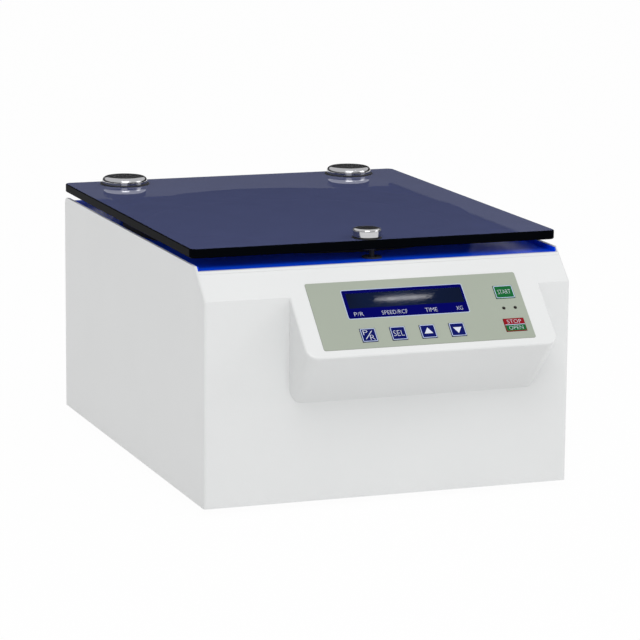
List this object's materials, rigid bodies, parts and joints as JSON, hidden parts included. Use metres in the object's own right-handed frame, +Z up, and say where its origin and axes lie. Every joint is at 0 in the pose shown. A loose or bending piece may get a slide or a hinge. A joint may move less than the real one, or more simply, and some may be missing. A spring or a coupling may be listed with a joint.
{
  "type": "bench centrifuge",
  "caption": "Bench centrifuge with a flat tinted lid on domed hinge caps, slanted console with keys and display, rubber-ringed chamber and fixed-angle rotor.",
  "frame": {"origin": "on the bench, under the middle of the overall outline", "axes": "+X to the right as the user faces it, +Y from the console to the rear, +Z up"},
  "size_m": [0.382, 0.5492, 0.2628],
  "materials": {
    "shell_white": "gloss",
    "deck_blue": "gloss",
    "lid_tint": "polished",
    "chrome": "polished",
    "grip_metal": "turned",
    "steel": "satin",
    "screw_steel": "satin",
    "rear_grey": "satin",
    "bowl_steel": "satin",
    "black_rubber": "matte",
    "black_plastic": "matte",
    "overlay_green_grey": "satin",
    "window_dark": "polished",
    "key_navy": "gloss",
    "key_green": "gloss",
    "key_red": "gloss",
    "lamp": "gloss",
    "board_green": "satin",
    "iron": "satin",
    "rotor_aluminium": "anodised",
    "aluminium": "satin"
  },
  "bodies": {
    "housing": {"housing_shell": "shell_white", "deck_pan": "deck_blue", "base_plate": "steel", "rear_panel": "rear_grey", "rear_screws": "screw_steel", "hinge_rail": "steel", "hinge_brackets": "steel", "hinge_pins": "steel", "striker_bezel": "black_plastic", "latch_channel": "steel", "lock_solenoid": "iron", "lid_switch": "black_plastic", "bowl": "bowl_steel", "bowl_seal": "black_rubber", "spindle_boot": "black_rubber", "motor_mounts": "black_rubber", "motor_plate": "steel", "motor_housing": "aluminium", "motor_cap": "aluminium", "spindle_bearings": "steel", "speed_sensor": "black_plastic", "panel_overlay": "overlay_green_grey", "display_window": "window_dark", "display_module": "board_green", "key_board": "board_green", "indicator_leds": "lamp", "board_pillars": "steel", "control_board": "board_green", "drive_board": "board_green", "transformer": "iron", "heat_sink": "aluminium", "power_inlet": "black_plastic", "fuse_holder": "black_plastic", "switch_frame": "black_plastic", "fan_frame": "black_plastic", "fan_guard": "steel", "fan_screws": "screw_steel", "feet": "black_rubber", "foot_screws": "screw_steel"},
    "lid": {"lid_plate": "lid_tint", "hinge_caps": "chrome", "hinge_arms": "chrome", "hinge_gaskets": "black_rubber", "hinge_screws": "screw_steel", "lid_knob": "grip_metal", "knob_washer": "black_rubber", "striker_plate": "black_plastic", "striker": "steel"},
    "rotor": {"spindle": "steel", "rotor": "rotor_aluminium"},
    "rotor_nut": {"rotor_nut": "aluminium"},
    "lock_plunger": {"lock_fork": "steel"},
    "fan_wheel": {"fan_rotor": "black_plastic"},
    "power_rocker": {"power_rocker": "black_plastic"},
    "key_program": {"key_program": "key_navy"},
    "key_select": {"key_select": "key_navy"},
    "key_up": {"key_up": "key_navy"},
    "key_down": {"key_down": "key_navy"},
    "key_start": {"key_start": "key_green"},
    "key_stop_open": {"key_stop_open": "key_red"}
  },
  "joints": [
    {"name": "lid_hinge", "type": "hinge", "parent": "housing", "child": "lid", "pos_m": [0, 0.25359, 0.219], "axis": [-1, 0, 0], "range_deg": [0, 75]},
    {"name": "rotor_spin", "type": "hinge", "parent": "housing", "child": "rotor", "pos_m": [0, 0.04559, 0.13], "axis": [0, 0, 1], "continuous": true},
    {"name": "rotor_nut_turn", "type": "hinge", "parent": "rotor", "child": "rotor_nut", "pos_m": [0, 0.04559, 0.174], "axis": [0, 0, 1], "continuous": true},
    {"name": "lock_slide", "type": "slide", "parent": "housing", "child": "lock_plunger", "axis": [-1, 0, 0], "range_m": [0, 0.008], "stiffness_N_per_m": 200, "springref_m": -0.004},
    {"name": "fan_spin", "type": "hinge", "parent": "housing", "child": "fan_wheel", "pos_m": [-0.088, 0.25284, 0.096], "axis": [0, 1, 0], "continuous": true},
    {"name": "power_rocker_tip", "type": "hinge", "parent": "housing", "child": "power_rocker", "pos_m": [0.066, 0.26509, 0.062], "axis": [-1, 0, 0], "range_deg": [0, 24]},
    {"name": "key_program_press", "type": "slide", "parent": "housing", "child": "key_program", "axis": [0, 0.6884, -0.7254], "range_m": [0, 0.0005], "stiffness_N_per_m": 1500, "springref_m": -0.0005},
    {"name": "key_select_press", "type": "slide", "parent": "housing", "child": "key_select", "axis": [0, 0.6884, -0.7254], "range_m": [0, 0.0005], "stiffness_N_per_m": 1500, "springref_m": -0.0005},
    {"name": "key_up_press", "type": "slide", "parent": "housing", "child": "key_up", "axis": [0, 0.6884, -0.7254], "range_m": [0, 0.0005], "stiffness_N_per_m": 1500, "springref_m": -0.0005},
    {"name": "key_down_press", "type": "slide", "parent": "housing", "child": "key_down", "axis": [0, 0.6884, -0.7254], "range_m": [0, 0.0005], "stiffness_N_per_m": 1500, "springref_m": -0.0005},
    {"name": "key_start_press", "type": "slide", "parent": "housing", "child": "key_start", "axis": [0, 0.6884, -0.7254], "range_m": [0, 0.0005], "stiffness_N_per_m": 1500, "springref_m": -0.0005},
    {"name": "key_stop_open_press", "type": "slide", "parent": "housing", "child": "key_stop_open", "axis": [0, 0.6884, -0.7254], "range_m": [0, 0.0005], "stiffness_N_per_m": 1500, "springref_m": -0.0005}
  ]
}
